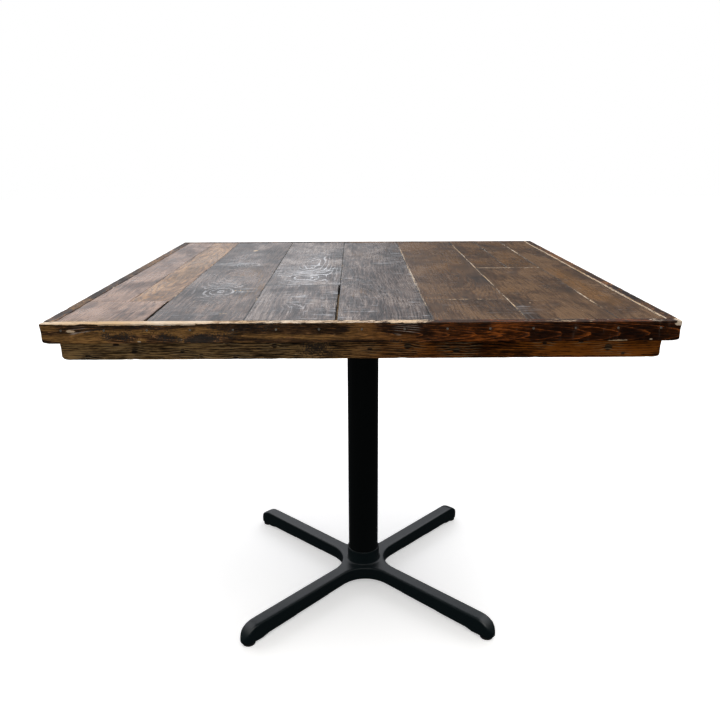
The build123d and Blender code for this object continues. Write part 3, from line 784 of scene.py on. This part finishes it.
def side_deep(u, v, w, p, lo, hi):
    """The sides towards the right of the top are a darker red-brown."""
    return (0.1 + 0.7 * step(p[:, 0], -0.1, 0.3)) * (1 - 0.55 * step(w, hi.z - 0.003, hi.z))


# Painted sheen: the strips' top face is painted paler towards the left.
def painted_side_sheen(u, v, w, p, lo, hi):
    return 0.3 * step(w, hi.z - 0.003, hi.z) * (1 - step(p[:, 0], -0.1, 0.2))


def flames(u, v, w, p, seed, centre, x0, slope):
    """Long pointed arches that open along the board from x0, as flat-sawn wood shows."""
    wob = (fbm(p, (7, 40, 40), seed, 3) - 0.5) * 0.004
    return np.hypot(w - centre + wob, slope * (u - x0)) + 0.15 * v + wob


EDGING_SHAPE = dict(radius=0.0011, chip=0.003)
FRONT_EDGING_KNOTS = ((-0.445, 0.768, 0.003, 0.8), (0.07, 0.77, 0.004, 0.7))


def side_edging_look(i, side):
    """The look of the back, left and right strips, which the photo doesn't show."""
    return dict(
        seed=340 + 10 * i, material=edging_material[side], **EDGING_SHAPE,
        ring=lambda u, v, w, p: flames(u, v, w, p, 345 + i, 0.764, 0.2 - 0.2 * i, 0.045),
        wear=side_wear, deep=side_deep, pale_and_sheen=painted_side_sheen,
        warm=lambda u, v, w, p, lo, hi: 0.55 * step(fbm(p, (8, 8, 60), 350 + i, 4), 0.5, 0.7),
        black=lambda u, v, w, p, lo, hi: 0.4 * step(fbm(p, (10, 10, 40), 360 + i, 4), 0.56, 0.74),
    )


edging_look = {
    "front": dict(
        seed=301, material=edging_material["front"], **EDGING_SHAPE, end_radius=0.0045,
        ring=lambda u, v, w, p: flames(u, v, w, p, 302, 0.76, -0.12, 0.05),
        wear=front_wear, warm=front_warm, black=front_black, deep=front_deep,
        knots=FRONT_EDGING_KNOTS,
    ),
}
for i, side in enumerate(("back", "left", "right")):
    edging_look[side] = side_edging_look(i, side)
for side in SIDES:
    node = f"edging_{side}"
    board(f"{node}_strip", node, LONG_AXIS[side], "edging_wood", edging_look[side])

# Knots in the front rail: x, z, size.
FRONT_KNOTS = (
    (-0.443, 0.722, 0.003), (-0.396, 0.742, 0.0035), (-0.368, 0.731, 0.0035),
    (-0.29, 0.73, 0.0028), (-0.26, 0.723, 0.0028), (-0.218, 0.744, 0.0032),
    (-0.205, 0.72, 0.0033), (-0.141, 0.738, 0.0035), (0.0135, 0.732, 0.0025),
    (0.0745, 0.737, 0.0045), (0.154, 0.729, 0.0045), (0.2975, 0.74, 0.0028),
    (0.3556, 0.743, 0.0028), (0.4, 0.733, 0.0045), (0.426, 0.722, 0.0025),
)


def rail_ring(seed, centre, knots):
    """Nearly straight grain that bends round each knot."""
    bends = [(a, b, size * 0.9, 0.5) for a, b, size in knots]

    def ring(u, v, w, p):
        return ring_field(u, w, v * 0.2, (centre, 0.03), seed, bends, 0.003, 0.01)

    return ring


def scatter(seed, lo, hi, z0, z1, count):
    """Knots at random places within a range, 2 to 4.5 mm in size."""
    rng = np.random.default_rng(seed)
    return [
        (rng.uniform(lo, hi), rng.uniform(z0, z1), rng.uniform(0.002, 0.0045))
        for _ in range(count)
    ]


RAIL_KNOTS, CENTRE_BOARD_KNOTS = 12, 14
KNOT_MARGIN = 0.005
RAIL_SOOT = (-0.077, 0.735, 0.035, 0.02, 0.5)
RAIL_SHAPE = dict(radius=0.0022, chip=0.0015, end_radius=0.004, step_across=0.004)
CENTRE_BOARD_SHAPE = dict(radius=0.002, chip=0.0015, step_across=0.004)
CENTRE_BOARD_TOP = 0.715


def rail_look(i, side):
    """The look of a frame rail. The front one has the photo's knots and turns redder to the
    right, and the others have random knots and patches."""
    front = side == "front"
    lo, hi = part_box(f"frame_rail_{side}")
    a = "XY".index(LONG_AXIS[side])
    low, high = lo.z + KNOT_MARGIN, hi.z - KNOT_MARGIN
    knots = FRONT_KNOTS if front else scatter(400 + i, lo[a], hi[a], low, high, RAIL_KNOTS)

    def black(u, v, w, p, lo, hi):
        soot = on_face(u, w, (RAIL_SOOT,)) if front else 0
        return 0.3 * step(fbm(p, (14, 14, 30), 430 + i, 4), 0.6, 0.8) + soot

    def warm(u, v, w, p, lo, hi):
        return 0.45 * step(fbm(p, (5, 5, 30), 440 + i, 3), 0.5, 0.7)

    def deep(u, v, w, p, lo, hi):
        if front:
            return 0.1 + 0.9 * step(u, -0.12, 0.16)
        return 0.3 + 0.5 * step(fbm(p, (3, 3, 3), 455 + i, 2), 0.4, 0.6)

    def wear(u, v, w, p, lo, hi):
        return 0.2 * step(fbm(p, (20, 20, 20), 450 + i, 3), 0.6, 0.8)

    return dict(
        seed=410 + i, material=rail_material[side], **RAIL_SHAPE,
        ring=rail_ring(420 + i, 0.79, knots),
        knots=[(u, w, size * 1.35, 1.0) for u, w, size in knots],
        black=black, warm=warm, deep=deep, wear=wear,
    )


def centre_board_look(i, side):
    """The look of a centre board, with random knots on its underside."""
    lo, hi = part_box(f"centre_board_{side}")
    scattered = scatter(460 + i, lo.y, hi.y, lo.x, hi.x, CENTRE_BOARD_KNOTS)
    knots = [(u, v, size * 1.5, 1.0) for u, v, size in scattered]
    pith = (0.0, 0.05)
    return dict(
        seed=470 + i, material=rail_material["centre"], **CENTRE_BOARD_SHAPE,
        ring=lambda u, v, w, p: ring_field(u, v, w - CENTRE_BOARD_TOP, pith, 480 + i, knots),
        black=lambda u, v, w, p, lo, hi: 0.3 * step(fbm(p, (9, 9, 9), 490, 3), 0.6, 0.8),
    )


for i, side in enumerate(SIDES):
    node = f"frame_rail_{side}"
    board(f"{node}_board", node, LONG_AXIS[side], "frame_wood", rail_look(i, side))
for i, side in enumerate(("left", "right")):
    node = f"centre_board_{side}"
    board(f"{node}_board", node, "Y", "frame_wood", centre_board_look(i, side))


# ------------------------------------------------------------------ materials of the CAD pieces
def metal_paint(name, colour, sheen, rough, grain, bump, speckle, distance, level):
    """Fine-textured powder coat with a little dust, and a bluish painted sheen in fine speckles."""
    t = Tree(name)
    fine = t.noise(t.mapping((grain,) * 3), detail=2, rough=0.6)
    wide = t.noise(t.mapping((14, 14, 14)), detail=4, rough=0.6)
    dust = t.mask(t.noise(t.mapping((210, 210, 210)), detail=5, rough=0.75), 0.64, 0.72)
    # The sheen colour paints reflected light into the base colour in fine speckles.
    c = t.mix(t.math("MULTIPLY", fine, speckle), colour, sheen)
    c = t.mix(t.math("MULTIPLY", wide, 0.25), c, shaded(colour, 0.6))
    c = t.mix(t.math("MULTIPLY", dust, 0.35), c, tuple(min(1, v * 3 + 0.03) for v in sheen))
    r = t.math("MULTIPLY_ADD", wide, 0.16, rough - 0.08)
    r = t.math("ADD", r, t.math("MULTIPLY", dust, 0.2), clamp=True)
    t.set(Base_Color=c, Roughness=r, Normal=t.bump(fine, bump, distance), Specular_IOR_Level=level)
    return t.mat


def steel(name, colour, rough, rust):
    """Bare or plated steel, finely scratched, with some rust in patches."""
    t = Tree(name)
    scratch = t.noise(t.mapping((900, 900, 60)), detail=3, rough=0.6)
    wide = t.noise(t.mapping((120, 120, 120)), detail=4, rough=0.65)
    c = t.mix(t.math("MULTIPLY", scratch, 0.5), colour, shaded(colour, 0.6))
    c = t.mix(t.math("MULTIPLY", t.mask(wide, 0.5, 0.72), rust), c, (0.16, 0.07, 0.03))
    r = t.math("MULTIPLY_ADD", wide, 0.25, rough - 0.1)
    t.set(Base_Color=c, Roughness=r, Normal=t.bump(scratch, 0.15, 0.0002), Metallic=1.0)
    return t.mat


def plywood(name):
    """The panel's pale face veneer, with long grain along X."""
    t = Tree(name)
    streak = t.noise(t.mapping((9, 130, 130)), detail=5, rough=0.6, distort=0.4)
    blotch = t.noise(t.mapping((3, 10, 10)), detail=3, rough=0.5)
    line = t.math("FRACT", t.math("MULTIPLY_ADD", blotch, 9.0, t.math("MULTIPLY", streak, 0.8)))
    c = t.mix(streak, (0.62, 0.45, 0.27), (0.42, 0.28, 0.15))
    c = t.mix(t.math("MULTIPLY", t.mask(line, 0.75, 0.98), 0.35), c, (0.33, 0.2, 0.1))
    r = t.math("MULTIPLY_ADD", streak, 0.15, 0.6)
    t.set(Base_Color=c, Roughness=r, Normal=t.bump(streak, 0.25, 0.0004))
    return t.mat


def nylon(name):
    """Black moulded nylon."""
    t = Tree(name)
    fine = t.noise(t.mapping((1500, 1500, 1500)), detail=2)
    c = t.mix(fine, (0.018, 0.018, 0.018), (0.04, 0.04, 0.042))
    r = t.math("MULTIPLY_ADD", fine, 0.15, 0.4)
    t.set(Base_Color=c, Roughness=r, Normal=t.bump(fine, 0.15, 0.0002))
    return t.mat


iron = metal_paint(
    "black_iron", (0.002, 0.005, 0.006), (0.014, 0.026, 0.031),
    rough=0.3, grain=1300.0, bump=0.3, speckle=0.6, distance=0.0006, level=0.6,
)
tube = metal_paint(
    "black_steel", (0.003, 0.004, 0.0045), (0.009, 0.014, 0.014),
    rough=0.32, grain=2600.0, bump=0.12, speckle=0.2, distance=0.0002, level=0.4,
)
zinc = steel("zinc_steel", (0.62, 0.62, 0.58), 0.32, 0.05)
nail = steel("nail_steel", (0.85, 0.8, 0.7), 0.5, 0.3)
SLOT_MATERIAL = {
    "black_iron": iron, "black_steel": tube, "zinc_steel": zinc, "nail_steel": nail,
    "plywood": plywood("plywood"), "black_nylon": nylon("black_nylon"),
}
slots = {s["node"]: s["material_slot"] for s in frame["record"]["subparts"]}
for node, ob in frame["nodes"].items():
    if slots[node] in SLOT_MATERIAL:
        ob.data.materials.clear()
        ob.data.materials.append(SLOT_MATERIAL[slots[node]])

# ------------------------------------------------------------------ the cast base, with soft edges
CASTING_VOXEL = 0.0019
NOSE_LENGTH = 0.017  # how far from a leg's tip its rounding starts
NOSE_WIDTH_LEFT = 0.3  # of the leg's width, at the very tip
LEG_FROM, LEG_HALF_WIDTH = 0.2, 0.03  # where a leg's outer end is, from the hub's axis
SMOOTH_TURNS, SMOOTH_TURNS_EVERYWHERE = 16, 6  # the rest are for the noses only


def remeshed(ob, turn):
    """The object's mesh, remeshed in voxels that are lined up with the legs."""
    ob.data.transform(turn)
    remesh = ob.modifiers.new("remesh", "REMESH")
    remesh.mode = "VOXEL"
    remesh.voxel_size = CASTING_VOXEL
    depsgraph = bpy.context.evaluated_depsgraph_get()
    mesh = bpy.data.meshes.new_from_object(ob.evaluated_get(depsgraph))
    ob.modifiers.clear()
    mesh.transform(turn.inverted())
    return mesh


def smoothed(co, edges, blend):
    """Each point moved by a blend towards the average of its neighbours."""
    count = np.bincount(edges.ravel(), minlength=len(co))[:, None]
    near, far = edges[:, 0], edges[:, 1]
    total = np.stack(
        [
            np.bincount(near, co[far, i], len(co)) + np.bincount(far, co[near, i], len(co))
            for i in range(3)
        ],
        1,
    )
    return co + blend * (total / count - co)


def casting():
    """A copy of the cast base with its edges softened and its four noses rounded in plan."""
    source = frame["nodes"]["cross_base"]
    hub = sum(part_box("column"), Vector()) / 2
    foot = sum(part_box("glide_back_right"), Vector()) / 2
    square = Matrix.Rotation(-math.atan2(foot.y - hub.y, foot.x - hub.x), 4, "Z")
    ob = bpy.data.objects.new("cross_base_casting", source.data.copy())
    scene.collection.objects.link(ob)
    mesh = ob.data = remeshed(ob, square)
    co = np.empty(len(mesh.vertices) * 3)
    mesh.vertices.foreach_get("co", co)
    co = co.reshape(-1, 3)

    legs = []
    weight = np.zeros(len(co))
    for corner in ("front_left", "front_right", "back_left", "back_right"):
        foot = sum(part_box(f"glide_{corner}"), Vector()) / 2
        d = np.array([foot.x - hub.x, foot.y - hub.y])
        d /= np.linalg.norm(d)
        side = np.array([-d[1], d[0]])
        from_hub = co[:, :2] - (hub.x, hub.y)
        r, n = from_hub @ d, from_hub @ side
        leg = (r > LEG_FROM) & (np.abs(n) < LEG_HALF_WIDTH)
        tip = r[leg].max()
        legs.append((d, leg, tip))
        t = np.clip((r - (tip - NOSE_LENGTH)) / NOSE_LENGTH, 0, 1)
        arc = np.sqrt(np.clip(1 - t**2, 0, 1))
        squeeze = np.where(leg, NOSE_WIDTH_LEFT + (1 - NOSE_WIDTH_LEFT) * arc, 1.0)
        co[:, :2] -= ((n * (1 - squeeze))[:, None]) * side
        weight = np.maximum(weight, np.where(leg, step(r, tip - 0.05, tip - 0.02), 0))

    edges = np.empty(len(mesh.edges) * 2, np.int32)
    mesh.edges.foreach_get("vertices", edges)
    edges = edges.reshape(-1, 2)
    for turn in range(SMOOTH_TURNS):
        co = smoothed(co, edges, 0.5 if turn < SMOOTH_TURNS_EVERYWHERE else 0.5 * weight[:, None])

    # Smoothing shortens the legs, so their ends are moved out again.
    for d, leg, tip in legs:
        r = (co[:, :2] - (hub.x, hub.y)) @ d
        short = tip - r[leg].max()
        co[:, :2] += np.where(leg, short * step(r, tip - 0.06, tip - 0.01), 0)[:, None] * d
    lo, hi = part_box("cross_base")
    co = np.clip(co, np.array(lo), np.array(hi))
    mesh.vertices.foreach_set("co", co.ravel())
    mesh.update()
    mesh.polygons.foreach_set("use_smooth", np.ones(len(mesh.polygons), bool))
    mesh.materials.clear()
    return finish_piece(ob, iron, "black_iron", "cross_base")


casting()

# ------------------------------------------------------------------ stage and light
FLOOR_HALF = 14.0
FLOOR_CORNERS = [
    (x * FLOOR_HALF, y * FLOOR_HALF, 0) for x, y in ((-1, -1), (1, -1), (1, 1), (-1, 1))
]

floor_mesh = bpy.data.meshes.new("floor")
floor_mesh.from_pydata(FLOOR_CORNERS, [], [(0, 1, 2, 3)])
floor = bpy.data.objects.new("floor", floor_mesh)
scene.collection.objects.link(floor)
floor_paint = Tree("floor")
floor_paint.set(
    Base_Color=(0.92, 0.92, 0.92), Roughness=0.9, Emission_Color=(1, 1, 1), Emission_Strength=0.42
)
floor_mesh.materials.append(floor_paint.mat)
floor.visible_diffuse = False
floor.visible_glossy = False

world = bpy.data.worlds.new("world")
scene.world = world
world.use_nodes = True
OVERHEAD, WALL, ROOM, BELOW = 1.0, 0.7, 0.03, 0.02  # how bright each part of the world is
FRONT_TINT, BACK_TINT = (1.0, 0.985, 0.96, 1), (0.94, 0.95, 1.0, 1)


def build_world():
    """White to the camera. As light: soft from above, a pale wall behind, a dim room in front."""
    nt = world.node_tree
    nt.nodes.clear()

    def op(kind, a, b=None, c=None):
        n = nt.nodes.new("ShaderNodeMath")
        n.operation = kind
        for socket, value in zip(n.inputs, (a, b, c)):
            if isinstance(value, bpy.types.NodeSocket):
                nt.links.new(value, socket)
            elif value is not None:
                socket.default_value = value
        return n.outputs[0]

    def smooth(value, lo, hi, at_lo=0.0, at_hi=1.0):
        n = nt.nodes.new("ShaderNodeMapRange")
        n.interpolation_type = "SMOOTHSTEP"
        nt.links.new(value, n.inputs["Value"])
        limits = {"From Min": lo, "From Max": hi, "To Min": at_lo, "To Max": at_hi}
        for key, limit in limits.items():
            n.inputs[key].default_value = limit
        return n.outputs[0]

    split = nt.nodes.new("ShaderNodeSeparateXYZ")
    nt.links.new(nt.nodes.new("ShaderNodeTexCoord").outputs["Generated"], split.inputs[0])
    x, y, z = split.outputs
    above = smooth(z, -0.02, 0.03)
    overhead = smooth(z, 0.45, 0.8, 0.0, OVERHEAD)
    low = smooth(z, 0.3, 0.5, 1.0, 0.0)
    shade = op("MULTIPLY", smooth(x, -0.08, 0.12, 0.0, 0.95), low)
    wall = op("MULTIPLY", smooth(y, 0.1, 0.55, 0.0, WALL), op("SUBTRACT", 1.0, shade))
    sky = op("ADD", op("ADD", overhead, wall), ROOM)
    strength = op("ADD", op("MULTIPLY", sky, above), BELOW)
    tint = nt.nodes.new("ShaderNodeMix")
    tint.data_type = "RGBA"
    nt.links.new(smooth(y, 0.0, 0.6), tint.inputs[0])
    tint.inputs[6].default_value = FRONT_TINT
    tint.inputs[7].default_value = BACK_TINT
    lit = nt.nodes.new("ShaderNodeBackground")
    nt.links.new(tint.outputs[2], lit.inputs[0])
    nt.links.new(strength, lit.inputs[1])
    seen = nt.nodes.new("ShaderNodeBackground")
    seen.inputs[0].default_value = (1, 1, 1, 1)
    seen.inputs[1].default_value = 1.0
    pick = nt.nodes.new("ShaderNodeMixShader")
    nt.links.new(nt.nodes.new("ShaderNodeLightPath").outputs["Is Camera Ray"], pick.inputs[0])
    nt.links.new(lit.outputs[0], pick.inputs[1])
    nt.links.new(seen.outputs[0], pick.inputs[2])
    nt.links.new(pick.outputs[0], nt.nodes.new("ShaderNodeOutputWorld").inputs[0])


build_world()


LIGHT_TARGET = (0, 0, 0.7)
KEY_SIZE, KEY_COLOUR = 2.6, (1.0, 0.98, 0.95)
FILL_SIZE, FILL_COLOUR = 2.4, (1.0, 0.99, 0.97)


def area(name, place, size, power, colour):
    """A square soft light at a place, aimed at the table."""
    data = bpy.data.lights.new(name, "AREA")
    data.energy = power
    data.color = colour
    data.size = size
    ob = bpy.data.objects.new(name, data)
    scene.collection.objects.link(ob)
    ob.location = place
    ob.rotation_euler = (Vector(LIGHT_TARGET) - Vector(place)).to_track_quat("-Z", "Y").to_euler()
    ob.visible_camera = False
    return ob


area("key", (0.4, -0.9, 3.6), KEY_SIZE, 55, KEY_COLOUR)
for name, place, power in (
    ("fill_front", (-0.6, -3.6, 1.1), 29), ("fill_back", (0.5, 3.6, 1.1), 22),
    ("fill_left", (-3.6, 0.3, 1.1), 22), ("fill_right", (3.6, -0.3, 1.1), 18),
):
    fill = area(name, place, FILL_SIZE, power, FILL_COLOUR)
    fill.visible_glossy = False

scene.view_settings.view_transform = "Standard"
